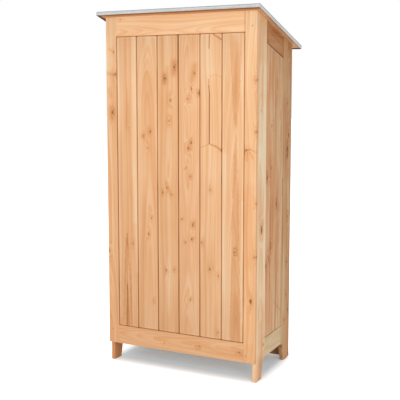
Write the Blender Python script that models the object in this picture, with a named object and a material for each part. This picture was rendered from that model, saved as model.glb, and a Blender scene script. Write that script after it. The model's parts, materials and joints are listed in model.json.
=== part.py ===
"""Garden storage cabinet: framed board sides, two flush board doors, a pent roof with a folded sheet cover.

Metres, +Z up. The doors face -Y, the roof falls towards +Y, and the origin lies on the ground under the
middle of the object's box.
"""

import math

import bmesh
import bpy
from mathutils import Vector

# Whole body
BODY_W = 0.840
BODY_D = 0.485
LEG_H = 0.101
BOTTOM_RAIL_H = 0.098
OPENING_H = 1.513
TOP_RAIL_H = 0.100

# Boards and frames
FRAME_T = 0.020
FRONT_STILE_W = 0.0625
SIDE_T = 0.022
SIDE_STILE_W = 0.1075
SIDE_TOP_RAIL_H = 0.108
SIDE_TOP_RAIL_SETBACK = 0.004
SIDE_BOARDS = 2
FOOT_W = 0.063
FOOT_FILLET_R = 0.026
FILLET_STEPS = 8
BACK_T = 0.018
BACK_BOARDS = 6
BACK_GROUND_GAP = 0.004
RAIL_TONGUE_L = 0.024
HAUNCH = 0.012
TONGUE_L = 0.009
TONGUE_T = 0.007
V_CHAMFER = 0.0018

# Doors
DOOR_GAP = 0.0015
BOARDS_PER_DOOR = 3
PIVOT_IN = 0.028
LEDGE_H = 0.090
LEDGE_T = 0.020
LEDGE_FROM_END = 0.060
LEDGE_FROM_PIVOT = 0.040
LEDGE_FROM_MEETING = 0.014
BRACE_W = 0.085
PIN_R = 0.004
PIN_IN_RAIL = 0.030
PIN_IN_DOOR = 0.026
COLLAR_R = 0.007
ROUND_SIDES = 16

# Door stops and push catches
OVERPRESS = 0.003
STOP_LAP = 0.015
STOP_ON_RAIL = 0.030
STOP_D = 0.035
CATCH_W = 0.014
CATCH_H = 0.014
CATCH_L = 0.040
CATCH_X = 0.060
CATCH_FRONT_GAP = 0.004
PLUNGER_R = 0.0035
PLUNGER_IN_BODY = 0.022
STRIKE_W = 0.030
STRIKE_H = 0.018
STRIKE_T = 0.0015

# Inside
FLOOR_BELOW_DOOR = 0.010
FLOOR_T = 0.018
SHELF_T = 0.018
SHELF_TOPS = {"lower": 0.700, "upper": 1.200}
SHELF_SETBACK = 0.050
CLEAT_W = 0.022
CLEAT_H = 0.030
BACK_RAIL_T = 0.022
BACK_RAIL_H = 0.070

# Roof
ROOF_PITCH = math.radians(15.5)
OVERHANG_FRONT = 0.040
OVERHANG_SIDE = 0.030
OVERHANG_BACK = 0.065
DECK_T = 0.013
SHEET_T = 0.001
LIP_H = 0.019

# Clearances
GAP = 0.0003
CUT_MARGIN = 0.010
EDGE_ROUND = 0.0015

# Derived places
LIP_REACH = LIP_H * math.sin(ROOF_PITCH)
PLAN_D = LIP_REACH + OVERHANG_FRONT + BODY_D + OVERHANG_BACK
Y_FRONT = -PLAN_D / 2 + LIP_REACH + OVERHANG_FRONT
Y_BACK = Y_FRONT + BODY_D
Y_FRAME_BACK = Y_FRONT + FRAME_T
Y_BACK_INNER = Y_BACK - BACK_T
SIDE_Y = (Y_FRAME_BACK + GAP, Y_BACK_INNER - GAP)
X_OUT = BODY_W / 2
X_IN = X_OUT - SIDE_T
OPENING_X = X_OUT - FRONT_STILE_W
OPENING_Z = (LEG_H + BOTTOM_RAIL_H, LEG_H + BOTTOM_RAIL_H + OPENING_H)
FRONT_TOP = OPENING_Z[1] + TOP_RAIL_H
DOOR_Z = (OPENING_Z[0] + DOOR_GAP, OPENING_Z[1] - DOOR_GAP)
PIVOT_X = OPENING_X - DOOR_GAP - PIVOT_IN
PIVOT_Y = Y_FRONT + FRAME_T / 2
LEDGE_Y = (Y_FRAME_BACK + GAP, Y_FRAME_BACK + GAP + LEDGE_T)
LEDGE_X = (DOOR_GAP / 2 + LEDGE_FROM_MEETING, PIVOT_X - LEDGE_FROM_PIVOT)
FLOOR_TOP = DOOR_Z[0] - FLOOR_BELOW_DOOR
BACK_RAIL_Y = (Y_BACK_INNER - GAP - BACK_RAIL_T, Y_BACK_INNER - GAP)
SIDES = {"left": -1, "right": 1}


def roof_underside(y):
    """Height of the roof deck's lower face above the point at depth y."""
    return FRONT_TOP - (y - Y_FRONT) * math.tan(ROOF_PITCH)


def under_roof(y):
    """Highest point that a piece under the roof deck may reach at depth y."""
    return roof_underside(y) - GAP / math.cos(ROOF_PITCH)


def material(name, colour, roughness, metallic=0.0):
    made = bpy.data.materials.new(name)
    made.use_nodes = True
    shader = made.node_tree.nodes["Principled BSDF"]
    shader.inputs["Base Color"].default_value = (*colour, 1.0)
    shader.inputs["Roughness"].default_value = roughness
    shader.inputs["Metallic"].default_value = metallic
    return made


def empty(name, location, tilt=0.0):
    made = bpy.data.objects.new(name, None)
    made.location = location
    made.rotation_euler = (tilt, 0.0, 0.0)
    bpy.context.scene.collection.objects.link(made)
    return made


def add_object(name, mesh_maker, origin, finish, parent=None):
    """Object whose mesh is centred on its origin. The parent's place comes off the object's own."""
    mesh = bpy.data.meshes.new(name)
    bmesh.ops.translate(mesh_maker, vec=-Vector(origin), verts=mesh_maker.verts)
    mesh_maker.to_mesh(mesh)
    mesh_maker.free()
    if finish is not None:
        mesh.materials.append(finish)
    made = bpy.data.objects.new(name, mesh)
    made.location = Vector(origin)
    if parent is not None:
        made.parent = parent
        made.location -= parent.location
    bpy.context.scene.collection.objects.link(made)
    return made


def prism(low, high):
    """Closed solid between two matching rings of points."""
    shape = bmesh.new()
    rings = [[shape.verts.new(point) for point in ring] for ring in (low, high)]
    for ring in rings:
        shape.faces.new(ring)
    for i in range(len(low)):
        j = (i + 1) % len(low)
        shape.faces.new((rings[0][i], rings[0][j], rings[1][j], rings[1][i]))
    bmesh.ops.recalc_face_normals(shape, faces=shape.faces)
    return shape


def height(value, y):
    return value(y) if callable(value) else value


def upright(outline, z_low, z_high):
    """Plan outline raised between two heights, each a number or a function of depth."""
    low = [(x, y, height(z_low, y)) for x, y in outline]
    high = [(x, y, height(z_high, y)) for x, y in outline]
    return prism(low, high)


def across(outline, x_low, x_high):
    """Side outline of (y, z) points carried from one x to another."""
    return prism([(x_low, y, z) for y, z in outline], [(x_high, y, z) for y, z in outline])


def block(x, y, z):
    """Upright box. Each span is a pair, and a height may be a function of depth."""
    outline = [(x[0], y[0]), (x[1], y[0]), (x[1], y[1]), (x[0], y[1])]
    return upright(outline, z[0], z[1])


def middle(x, y, z):
    ends = (height(z[0], y[0]), height(z[1], y[0]))
    return ((x[0] + x[1]) / 2, (y[0] + y[1]) / 2, (ends[0] + ends[1]) / 2)


def box_piece(name, x, y, z, finish, parent=None, rounded=True):
    made = add_object(name, block(x, y, z), middle(x, y, z), finish, parent)
    if rounded:
        soften(made)
    return made


def soften(piece):
    """Eased edges of a planed board."""
    easing = piece.modifiers.new("eased_edges", "BEVEL")
    easing.width = EDGE_ROUND
    easing.segments = 1
    easing.limit_method = "ANGLE"


def boolean(piece, tool, operation):
    tool.hide_render = True
    tool.display_type = "WIRE"
    change = piece.modifiers.new(tool.name, "BOOLEAN")
    change.operation = operation
    change.solver = "EXACT"
    change.object = tool


def cut_box(piece, name, x, y, z):
    boolean(piece, add_object(name, block(x, y, z), middle(x, y, z), None), "DIFFERENCE")


def turned(profile, along):
    """Solid of revolution from (radius, position) pairs along the Y or Z axis, from low to high."""
    shape = bmesh.new()
    rings = []
    for radius, position in profile:
        ring = []
        for step in range(ROUND_SIDES):
            angle = 2 * math.pi * step / ROUND_SIDES
            a, b = radius * math.cos(angle), radius * math.sin(angle)
            ring.append(shape.verts.new((a, position, b) if along == "Y" else (a, b, position)))
        rings.append(ring)
    shape.faces.new(rings[0])
    shape.faces.new(rings[-1])
    for low, high in zip(rings, rings[1:]):
        for step in range(ROUND_SIDES):
            after = (step + 1) % ROUND_SIDES
            shape.faces.new((low[step], low[after], high[after], high[step]))
    bmesh.ops.recalc_face_normals(shape, faces=shape.faces)
    return shape


def turned_piece(name, profile, along, place, finish, parent=None):
    shape = turned(profile, along)
    bmesh.ops.translate(shape, vec=place, verts=shape.verts)
    made = add_object(name, shape, place, finish, parent)
    made.data.shade_smooth()
    made.data.set_sharp_from_angle(angle=math.radians(35))
    return made


def drill(piece, name, radius, along, place, span):
    tool = turned_piece(name, [(radius, span[0]), (radius, span[1])], along, place, None)
    boolean(piece, tool, "DIFFERENCE")


def edge_points(u, thickness, inward, kind):
    """Points down one long edge of a board, from its face to its back. Inward is +1 or -1 along the width."""
    centre = thickness / 2
    half = TONGUE_T / 2
    reach = {"tongue": -TONGUE_L, "groove": TONGUE_L + GAP}.get(kind)
    if reach is None:
        return [(u, V_CHAMFER), (u, thickness)]
    if kind == "groove":
        half += GAP
    tip = u + inward * reach
    return [
        (u, V_CHAMFER),
        (u, centre - half),
        (tip, centre - half),
        (tip, centre + half),
        (u, centre + half),
        (u, thickness),
    ]


def board_outline(u0, u1, thickness, left, right):
    """Cross-section of a board: width along u, depth from its face along v."""
    points = [(u0 + V_CHAMFER, 0.0), (u1 - V_CHAMFER, 0.0)]
    points += edge_points(u1, thickness, -1, right)
    points += reversed(edge_points(u0, thickness, 1, left))
    return points


def board_edges(index, count, outer):
    """Kinds of a board's two edges in a run of boards whose outermost edges are given."""
    left = outer if index == 0 else "tongue"
    right = outer if index == count - 1 else "groove"
    return left, right


def leg_outline(z_top):
    """Side outline of a stile with its foot, as (distance from the outer edge, height) pairs."""
    centre = Vector((SIDE_STILE_W, LEG_H - FOOT_FILLET_R))
    to_foot = Vector((FOOT_W, 0.0)) - centre
    swing = math.acos(FOOT_FILLET_R / to_foot.length)
    start = math.atan2(to_foot.y, to_foot.x) % (2 * math.pi) - swing
    end = math.pi / 2
    points = [(0.0, 0.0), (FOOT_W, 0.0)]
    for step in range(FILLET_STEPS + 1):
        angle = start + (end - start) * step / FILLET_STEPS
        points.append((centre.x + FOOT_FILLET_R * math.cos(angle), centre.y + FOOT_FILLET_R * math.sin(angle)))
    points += [(SIDE_STILE_W, z_top(SIDE_STILE_W)), (0.0, z_top(0.0))]
    return points


def tongued_rail(name, along, x, y, z, tongue_z, centre, finish):
    """Rail along X or Y whose ends carry a tongue, centred on the stiles' grooves."""
    rail = add_object(name, block(x, y, z), middle(x, y, z), finish)
    spans = {"X": x, "Y": y}
    thin = (centre - TONGUE_T / 2, centre + TONGUE_T / 2)
    reach = RAIL_TONGUE_L if along == "X" else TONGUE_L
    long = (spans[along][0] - reach, spans[along][1] + reach)
    tongue_x, tongue_y = (long, thin) if along == "X" else (thin, long)
    place = middle(tongue_x, tongue_y, tongue_z)
    boolean(rail, add_object(name + "_tongue", block(tongue_x, tongue_y, tongue_z), place, None), "UNION")
    return rail


def side_panel(side, sign, finish):
    """One framed side: two stiles with feet, two rails and the boards between them."""
    y0, y1 = SIDE_Y
    inner = (y0 + SIDE_STILE_W, y1 - SIDE_STILE_W)
    x = tuple(sorted((sign * X_OUT, sign * X_IN)))
    x_mid = sum(x) / 2
    groove_x = (x_mid - TONGUE_T / 2 - GAP, x_mid + TONGUE_T / 2 + GAP)
    groove_z = (LEG_H + HAUNCH - GAP, FRONT_TOP + CUT_MARGIN)
    for end, edge, way in (("front", y0, 1), ("rear", y1, -1)):
        outline = leg_outline(lambda u: under_roof(edge + way * u))
        points = [(edge + way * u, z) for u, z in outline]
        name = f"side_{side}_{end}_stile"
        foot = (x_mid, edge + way * FOOT_W / 2, 0.0)
        stile = add_object(name, across(points, *x), foot, finish)
        inside = edge + way * SIDE_STILE_W
        bottom = inside - way * (TONGUE_L + GAP)
        groove_y = tuple(sorted((bottom, inside + way * CUT_MARGIN)))
        cut_box(stile, name + "_groove", groove_x, groove_y, groove_z)

    rail_y = (inner[0] + GAP, inner[1] - GAP)
    rail_z = (LEG_H, OPENING_Z[0])
    tongue_z = (LEG_H + HAUNCH, OPENING_Z[0] - HAUNCH)
    tongued_rail(f"side_{side}_bottom_rail", "Y", x, rail_y, rail_z, tongue_z, x_mid, finish)

    def top_rail_low(y):
        return under_roof(y) - SIDE_TOP_RAIL_H

    def tongue_low(y):
        return top_rail_low(y) + HAUNCH

    def tongue_high(y):
        return under_roof(y) - HAUNCH

    top_z = (top_rail_low, under_roof)
    top_x = tuple(sorted((sign * (X_OUT - SIDE_TOP_RAIL_SETBACK), sign * X_IN)))
    top_tongue_z = (tongue_low, tongue_high)
    tongued_rail(f"side_{side}_top_rail", "Y", top_x, rail_y, top_z, top_tongue_z, x_mid, finish)

    pitch = (inner[1] - inner[0]) / SIDE_BOARDS
    for i in range(SIDE_BOARDS):
        u0 = inner[0] + i * pitch + GAP / 2
        u1 = inner[0] + (i + 1) * pitch - GAP / 2
        profile = board_outline(u0, u1, SIDE_T, *board_edges(i, SIDE_BOARDS, "tongue"))
        outline = [(sign * (X_OUT - v), u) for u, v in profile]
        shape = upright(outline, OPENING_Z[0] + GAP, lambda y: top_rail_low(y) - GAP)
        origin = (x_mid, (u0 + u1) / 2, OPENING_Z[0])
        add_object(f"side_{side}_board_{i + 1}", shape, origin, finish)


def front_frame(finish):
    """Fixed face frame that the doors close into."""
    y = (Y_FRONT, Y_FRAME_BACK)
    y_mid = sum(y) / 2
    rail_x = (-OPENING_X + GAP, OPENING_X - GAP)
    rails = {
        "bottom": (LEG_H, OPENING_Z[0]),
        "top": (OPENING_Z[1], under_roof),
    }
    tongues = {
        "bottom": (LEG_H + HAUNCH, OPENING_Z[0] - HAUNCH),
        "top": (OPENING_Z[1] + HAUNCH, roof_underside(Y_FRAME_BACK) - HAUNCH),
    }
    made = {}
    for place, z in rails.items():
        name = f"front_{place}_rail"
        made[place] = tongued_rail(name, "X", rail_x, y, z, tongues[place], y_mid, finish)
    for side, sign in SIDES.items():
        x = tuple(sorted((sign * X_OUT, sign * OPENING_X)))
        name = f"front_stile_{side}"
        stile = add_object(name, block(x, y, (LEG_H, under_roof)), middle(x, y, (LEG_H, FRONT_TOP)), finish)
        deep = sign * (OPENING_X + RAIL_TONGUE_L + GAP)
        mouth = sign * (OPENING_X - CUT_MARGIN)
        mortise_x = tuple(sorted((deep, mouth)))
        mortise_y = (y_mid - TONGUE_T / 2 - GAP, y_mid + TONGUE_T / 2 + GAP)
        for place, (low, high) in tongues.items():
            cut_box(stile, f"{name}_{place}_mortise", mortise_x, mortise_y, (low - GAP, high + GAP))
        pivot = (sign * PIVOT_X, PIVOT_Y, 0.0)
        bore = PIN_R + GAP
        top_span = (OPENING_Z[1] - CUT_MARGIN, OPENING_Z[1] + PIN_IN_RAIL + GAP)
        bottom_span = (OPENING_Z[0] - PIN_IN_RAIL - GAP, OPENING_Z[0] + CUT_MARGIN)
        drill(made["top"], f"front_top_rail_bore_{side}", bore, "Z", pivot, top_span)
        drill(made["bottom"], f"front_bottom_rail_bore_{side}", bore, "Z", pivot, bottom_span)


def pivot_pins(side, sign, finish):
    """Steel pins that stand in the rails and carry the door between them, each with a thrust collar."""
    top = [
        (PIN_R, DOOR_Z[1] - PIN_IN_DOOR),
        (PIN_R, DOOR_Z[1] + GAP),
        (COLLAR_R, DOOR_Z[1] + GAP),
        (COLLAR_R, OPENING_Z[1] - GAP),
        (PIN_R, OPENING_Z[1] - GAP),
        (PIN_R, OPENING_Z[1] + PIN_IN_RAIL),
    ]
    bottom = [
        (PIN_R, OPENING_Z[0] - PIN_IN_RAIL),
        (PIN_R, OPENING_Z[0] + GAP),
        (COLLAR_R, OPENING_Z[0] + GAP),
        (COLLAR_R, DOOR_Z[0] - GAP),
        (PIN_R, DOOR_Z[0] - GAP),
        (PIN_R, DOOR_Z[0] + PIN_IN_DOOR),
    ]
    place = Vector((sign * PIVOT_X, PIVOT_Y, 0.0))
    turned_piece(f"pivot_pin_{side}_top", top, "Z", place, finish)
    turned_piece(f"pivot_pin_{side}_bottom", bottom, "Z", place, finish)


def door(side, sign, wood, steel):
    """One leaf: boards, two ledges, a brace that rises from the hinge side, and the catch's strike plate."""
    hinge = empty(f"door_{side}_hinge", (sign * PIVOT_X, PIVOT_Y, 0.0))
    pitch = OPENING_X / BOARDS_PER_DOOR
    for i in range(BOARDS_PER_DOOR):
        # Boards count from the hinge side, and u runs from the middle of the cabinet outwards.
        u1 = OPENING_X - i * pitch - (DOOR_GAP if i == 0 else GAP / 2)
        u0 = OPENING_X - (i + 1) * pitch + (DOOR_GAP / 2 if i == BOARDS_PER_DOOR - 1 else GAP / 2)
        left = "plain" if i == BOARDS_PER_DOOR - 1 else "groove"
        right = "plain" if i == 0 else "tongue"
        profile = board_outline(u0, u1, FRAME_T, left, right)
        outline = [(sign * u, Y_FRONT + v) for u, v in profile]
        origin = (sign * (u0 + u1) / 2, PIVOT_Y, DOOR_Z[0])
        name = f"door_{side}_board_{i + 1}"
        made = add_object(name, upright(outline, *DOOR_Z), origin, wood, hinge)
        if i == 0:
            pivot = (sign * PIVOT_X, PIVOT_Y, 0.0)
            bore = PIN_R + GAP
            low_span = (DOOR_Z[0] - CUT_MARGIN, DOOR_Z[0] + PIN_IN_DOOR + GAP)
            high_span = (DOOR_Z[1] - PIN_IN_DOOR - GAP, DOOR_Z[1] + CUT_MARGIN)
            drill(made, name + "_low_bore", bore, "Z", pivot, low_span)
            drill(made, name + "_high_bore", bore, "Z", pivot, high_span)

    ledge_x = tuple(sorted(sign * x for x in LEDGE_X))
    low_z = (DOOR_Z[0] + LEDGE_FROM_END, DOOR_Z[0] + LEDGE_FROM_END + LEDGE_H)
    high_z = (DOOR_Z[1] - LEDGE_FROM_END - LEDGE_H, DOOR_Z[1] - LEDGE_FROM_END)
    box_piece(f"door_{side}_bottom_ledge", ledge_x, LEDGE_Y, low_z, wood, hinge)
    box_piece(f"door_{side}_top_ledge", ledge_x, LEDGE_Y, high_z, wood, hinge)

    brace_z = (low_z[1] + GAP, high_z[0] - GAP)
    rise = math.atan2(brace_z[1] - brace_z[0], LEDGE_X[1] - LEDGE_X[0])
    foot = BRACE_W / math.sin(rise)
    ring = [
        (LEDGE_X[1], brace_z[0]),
        (LEDGE_X[0] + foot, brace_z[1]),
        (LEDGE_X[0], brace_z[1]),
        (LEDGE_X[1] - foot, brace_z[0]),
    ]
    shape = prism(*([(sign * x, y, z) for x, z in ring] for y in LEDGE_Y))
    centre = (sign * sum(LEDGE_X) / 2, sum(LEDGE_Y) / 2, sum(brace_z) / 2)
    soften(add_object(f"door_{side}_brace", shape, centre, wood, hinge))

    strike_x = (sign * CATCH_X - STRIKE_W / 2, sign * CATCH_X + STRIKE_W / 2)
    strike_y = (Y_FRAME_BACK + GAP, Y_FRAME_BACK + GAP + STRIKE_T)
    strike_z = (catch_height() - STRIKE_H / 2, catch_height() + STRIKE_H / 2)
    box_piece(f"door_{side}_strike_plate", strike_x, strike_y, strike_z, steel, hinge, rounded=False)


def catch_height():
    """Height of the push catches' plungers, under the top door stop."""
    return OPENING_Z[1] - STOP_LAP - GAP - CATCH_H / 2


def door_stops(finish):
    """Battens behind the doors. They stand back by the catches' over-press."""
    x = (-LEDGE_X[1], LEDGE_X[1])
    y0 = Y_FRAME_BACK + GAP
    low, high = OPENING_Z[1] - STOP_LAP, OPENING_Z[1] + STOP_ON_RAIL
    profile = [
        (y0, OPENING_Z[1] + GAP),
        (y0 + OVERPRESS, OPENING_Z[1] + GAP),
        (y0 + OVERPRESS, low),
        (y0 + STOP_D, low),
        (y0 + STOP_D, high),
        (y0, high),
    ]
    add_object("door_stop_top", across(profile, *x), (0.0, y0 + STOP_D / 2, (low + high) / 2), finish)
    stop_y = (y0 + OVERPRESS, y0 + STOP_D)
    box_piece("door_stop_bottom", x, stop_y, (FLOOR_TOP + GAP, DOOR_Z[0] + STOP_LAP), finish)


def push_catch(side, sign, plastic):
    """Push-to-open catch: a body under the top stop and a sprung plunger that holds off the door."""
    x = (sign * CATCH_X - CATCH_W / 2, sign * CATCH_X + CATCH_W / 2)
    tip = Y_FRAME_BACK + GAP + STRIKE_T + GAP
    body_y = (tip + CATCH_FRONT_GAP, tip + CATCH_FRONT_GAP + CATCH_L)
    z_mid = catch_height()
    body = box_piece(f"catch_body_{side}", x, body_y, (z_mid - CATCH_H / 2, z_mid + CATCH_H / 2), plastic, None, False)
    centre = Vector((sign * CATCH_X, tip, z_mid))
    length = CATCH_FRONT_GAP + PLUNGER_IN_BODY
    bore_span = (CATCH_FRONT_GAP - CUT_MARGIN, length + OVERPRESS + GAP)
    drill(body, f"catch_body_{side}_bore", PLUNGER_R + GAP, "Y", centre, bore_span)
    slide = empty(f"catch_plunger_{side}_slide", centre)
    turned_piece(f"catch_plunger_{side}", [(PLUNGER_R, 0.0), (PLUNGER_R, length)], "Y", centre, plastic, slide)


def back_wall(finish):
    """Boards that cover the rear edges of the sides and run down close to the ground, and their two rails."""
    pitch = BODY_W / BACK_BOARDS
    for i in range(BACK_BOARDS):
        u0 = -X_OUT + i * pitch + (0.0 if i == 0 else GAP / 2)
        u1 = -X_OUT + (i + 1) * pitch - (0.0 if i == BACK_BOARDS - 1 else GAP / 2)
        profile = board_outline(u0, u1, BACK_T, *board_edges(i, BACK_BOARDS, "plain"))
        outline = [(u, Y_BACK - v) for u, v in profile]
        shape = upright(outline, BACK_GROUND_GAP, under_roof)
        origin = ((u0 + u1) / 2, Y_BACK - BACK_T / 2, BACK_GROUND_GAP)
        add_object(f"back_board_{i + 1}", shape, origin, finish)
    x = (-X_IN + GAP, X_IN - GAP)
    low_z = FLOOR_TOP - FLOOR_T - GAP
    box_piece("back_rail_bottom", x, BACK_RAIL_Y, (low_z - BACK_RAIL_H, low_z), finish)
    high_z = roof_underside(Y_BACK_INNER) - BACK_RAIL_H
    box_piece("back_rail_top", x, BACK_RAIL_Y, (high_z, under_roof), finish)


def inside(finish):
    """Floor on bearers, and shelves on cleats."""
    x = (-X_IN + GAP, X_IN - GAP)
    floor_y = (Y_FRAME_BACK + GAP, Y_BACK_INNER - GAP)
    shelf_y = (Y_FRAME_BACK + SHELF_SETBACK, Y_BACK_INNER - GAP)
    box_piece("floor_panel", x, floor_y, (FLOOR_TOP - FLOOR_T, FLOOR_TOP), finish)
    for level, top in SHELF_TOPS.items():
        box_piece(f"shelf_{level}", x, shelf_y, (top - SHELF_T, top), finish)
    for side, sign in SIDES.items():
        cleat_x = tuple(sorted((sign * (X_IN - GAP), sign * (X_IN - GAP - CLEAT_W))))
        bearer_top = FLOOR_TOP - FLOOR_T - GAP
        bearer_y = (floor_y[0], BACK_RAIL_Y[0] - GAP)
        box_piece(f"floor_bearer_{side}", cleat_x, bearer_y, (bearer_top - CLEAT_H, bearer_top), finish)
        for level, top in SHELF_TOPS.items():
            cleat_top = top - SHELF_T - GAP
            name = f"shelf_{level}_cleat_{side}"
            box_piece(name, cleat_x, shelf_y, (cleat_top - CLEAT_H, cleat_top), finish)


def roof(wood, zinc):
    """Sloping deck with a sheet cover whose lips are folded down square to the slope."""
    plane = empty("roof_plane", (0.0, Y_FRONT, FRONT_TOP), -ROOF_PITCH)
    stretch = 1 / math.cos(ROOF_PITCH)
    half_w = BODY_W / 2 + OVERHANG_SIDE
    top = DECK_T + GAP + SHEET_T
    # The cover's top edges stand over the plan overhangs, and the slope sets the lower face back a little.
    front = -OVERHANG_FRONT * stretch - top * math.tan(ROOF_PITCH)
    back = (BODY_D + OVERHANG_BACK) * stretch - top * math.tan(ROOF_PITCH)
    wall = SHEET_T + GAP
    deck_x = (-half_w + wall, half_w - wall)
    deck_y = (front + wall, back - wall)
    pieces = [
        (add_object("roof_deck", block(deck_x, deck_y, (0.0, DECK_T)), (0.0, 0.0, 0.0), wood), None),
        (
            add_object(
                "roof_sheet",
                block((-half_w, half_w), (front, back), (top - LIP_H, top)),
                (0.0, 0.0, 0.0),
                zinc,
            ),
            add_object(
                "roof_sheet_hollow",
                block(
                    (-half_w + SHEET_T, half_w - SHEET_T),
                    (front + SHEET_T, back - SHEET_T),
                    (top - LIP_H - CUT_MARGIN, top - SHEET_T),
                ),
                (0.0, 0.0, 0.0),
                None,
            ),
        ),
    ]
    for piece, hollow in pieces:
        piece.parent = plane
        if hollow is not None:
            hollow.parent = plane
            boolean(piece, hollow, "DIFFERENCE")


def main():
    for old in list(bpy.data.objects):
        bpy.data.objects.remove(old, do_unlink=True)
    front_wood = material("front_wood", (0.82, 0.47, 0.22), 0.55)
    side_wood = material("side_wood", (0.74, 0.44, 0.22), 0.58)
    inner_wood = material("inner_wood", (0.72, 0.50, 0.29), 0.65)
    zinc = material("zinc_sheet", (0.62, 0.63, 0.62), 0.42, 0.85)
    steel = material("plated_steel", (0.55, 0.56, 0.57), 0.35, 1.0)
    plastic = material("dark_plastic", (0.05, 0.05, 0.055), 0.5)

    front_frame(front_wood)
    for side, sign in SIDES.items():
        side_panel(side, sign, side_wood)
        pivot_pins(side, sign, steel)
        door(side, sign, front_wood, steel)
        push_catch(side, sign, plastic)
    door_stops(inner_wood)
    back_wall(side_wood)
    inside(inner_wood)
    roof(inner_wood, zinc)


main()
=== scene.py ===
"""Garden storage cabinet, finished: planed larch, a folded zinc cover, screws and soft studio light."""
import json
import math
import random
from functools import partialmethod

import bmesh
import bpy
from mathutils import Euler, Matrix, Vector


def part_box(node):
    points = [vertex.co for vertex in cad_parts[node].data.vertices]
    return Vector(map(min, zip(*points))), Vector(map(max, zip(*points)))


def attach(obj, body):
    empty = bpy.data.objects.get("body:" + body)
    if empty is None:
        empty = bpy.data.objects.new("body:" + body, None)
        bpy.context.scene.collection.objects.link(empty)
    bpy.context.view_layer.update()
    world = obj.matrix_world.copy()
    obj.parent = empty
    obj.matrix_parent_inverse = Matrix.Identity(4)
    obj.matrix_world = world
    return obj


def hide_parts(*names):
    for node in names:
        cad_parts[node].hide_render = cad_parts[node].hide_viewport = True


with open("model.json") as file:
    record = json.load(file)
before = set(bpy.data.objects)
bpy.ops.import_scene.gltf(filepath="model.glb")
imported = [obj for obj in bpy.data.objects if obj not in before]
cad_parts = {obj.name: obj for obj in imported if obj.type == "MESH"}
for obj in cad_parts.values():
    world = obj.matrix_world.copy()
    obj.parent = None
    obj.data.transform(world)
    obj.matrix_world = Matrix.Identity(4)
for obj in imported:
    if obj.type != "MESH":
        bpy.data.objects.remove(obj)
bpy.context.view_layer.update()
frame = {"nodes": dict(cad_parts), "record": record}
BODY_OF = {node: body for body, nodes in frame["record"]["behaviour"]["bodies"].items() for node in nodes}
SLOT_OF = {part["node"]: part["material_slot"] for part in frame["record"]["subparts"]}

MM = 0.001
SIDES = {"left": -1, "right": 1}
BACK_BOARDS = 6
DOOR_BOARDS = 3

# Camera, standing where the photograph was taken from
CAMERA_PLACE = (1.870, -3.7947, 1.4215)
CAMERA_YAW = math.radians(26.287)
CAMERA_DOWN = math.radians(6.269)
CAMERA_LENS = 72.26
CAMERA_SHIFT = -0.045

# Light: place, target, size and power of each soft lamp, and the strength of the white all round
LAMPS = {
    "key": ((0.2, -4.4, 2.4), (0.0, 0.0, 1.5), 2.8, 65.0),
    "fill": ((4.2, -3.7, 2.0), (0.2, 0.0, 1.0), 2.4, 80.0),
    "top": ((0.0, -0.2, 5.2), (0.0, -0.2, 0.0), 4.0, 100.0),
    "back": ((-1.8, 4.6, 2.1), (0.0, 0.2, 1.0), 2.8, 60.0),
}
AMBIENT = 0.34
WHITE = (1.0, 1.0, 1.0, 1.0)

# Floor: its colours away from the cabinet and under it, its own light there, and where they change
FLOOR_COLOUR = (0.86, 0.86, 0.86)
FLOOR_SHADE = (0.62, 0.80, 0.90)
FLOOR_LIFT = 0.24
FLOOR_PLAIN = (-0.02, 0.22)
FLOOR_SHADED = (-0.02, 0.06)
FLOOR_SIDE_FALL = 1.8
FOOTPRINT = (0.40, 0.17)
FLOOR_HALF = 40.0

# Tongued boards, made along a path whose inner points lie within a reach of a middle number
TONGUE_L = 9 * MM
TONGUE_T = 7 * MM
BOARD_GAP = 0.3 * MM
ARRIS = 4.0 * MM
TONGUE_ARRIS = 0.6 * MM
ARRIS_STEPS = 3
END_SLACK = 0.1 * MM
PATH_CUTS = 2
INNER_POINTS = (1.5, 0.6)

# Planed frame pieces
EASED_EDGE = 1.6 * MM
EASED_STEPS = 2
SHARP_FROM = math.radians(30)
FLAT_WITHIN = math.radians(0.5)
WELD = 0.01 * MM

# Folded cover
ROOF_PITCH = math.radians(15.5)
LIP_H = 19 * MM
SHEET_T = 1 * MM
BEND_R = 3 * MM
BEND_STEPS = 5
HEM_H = 4 * MM
HEM_T = 2.4 * MM
COVER_REACH = 3.2 * MM
COVER_CORNER_R = 0.3 * MM
COVER_CORNER_STEPS = 4

# Screws and joint pins: head radius, head height, recess depth, height that stands proud
SCREW = (4.2 * MM, 2.4 * MM, 0.7 * MM, 0.8 * MM)
JOINT_PIN = (2.9 * MM, 2.0 * MM, 0.1 * MM, 0.15 * MM)
HEAD_SIDES = 12
RECESS_SHARE = 0.5

# Where they sit: shares of a board's width, of a ledge's and a rail's height, of a brace's and a cleat's
# length, and x and z of the pins on the front
BOARD_SCREWS = (0.25, 0.75)
LEDGE_ROWS = (0.3, 0.7)
BACK_RAIL_ROW = 0.4
BRACE_SCREWS = (0.14, 0.5, 0.86)
CLEAT_SCREWS = (0.12, 0.5, 0.88)
JOINT_PINS = ((0.396, 1.740), (-0.398, 0.175), (0.369, 0.135))

# Noises, as grains per metre on each axis: a wooden piece's own across, depth and along, or else X, Y and Z
NOISE = {
    "wander": (2.0, 2.0, 1.1),
    "ripple": (22.0, 22.0, 3.0),
    "stir": (85.0, 85.0, 60.0),
    "cloud": (16.0, 16.0, 2.5),
    "broad": (38.0, 38.0, 1.3),
    "streak": (110.0, 110.0, 1.6),
    "fibre": (900.0, 900.0, 14.0),
    "bloom": (7.0,) * 3,
    "sheet": (400.0,) * 3,
    "turning": (300.0, 300.0, 2500.0),
    "dull": (120.0,) * 3,
    "stain": (900.0,) * 3,
    "moulding": (1500.0,) * 3,
}

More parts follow.
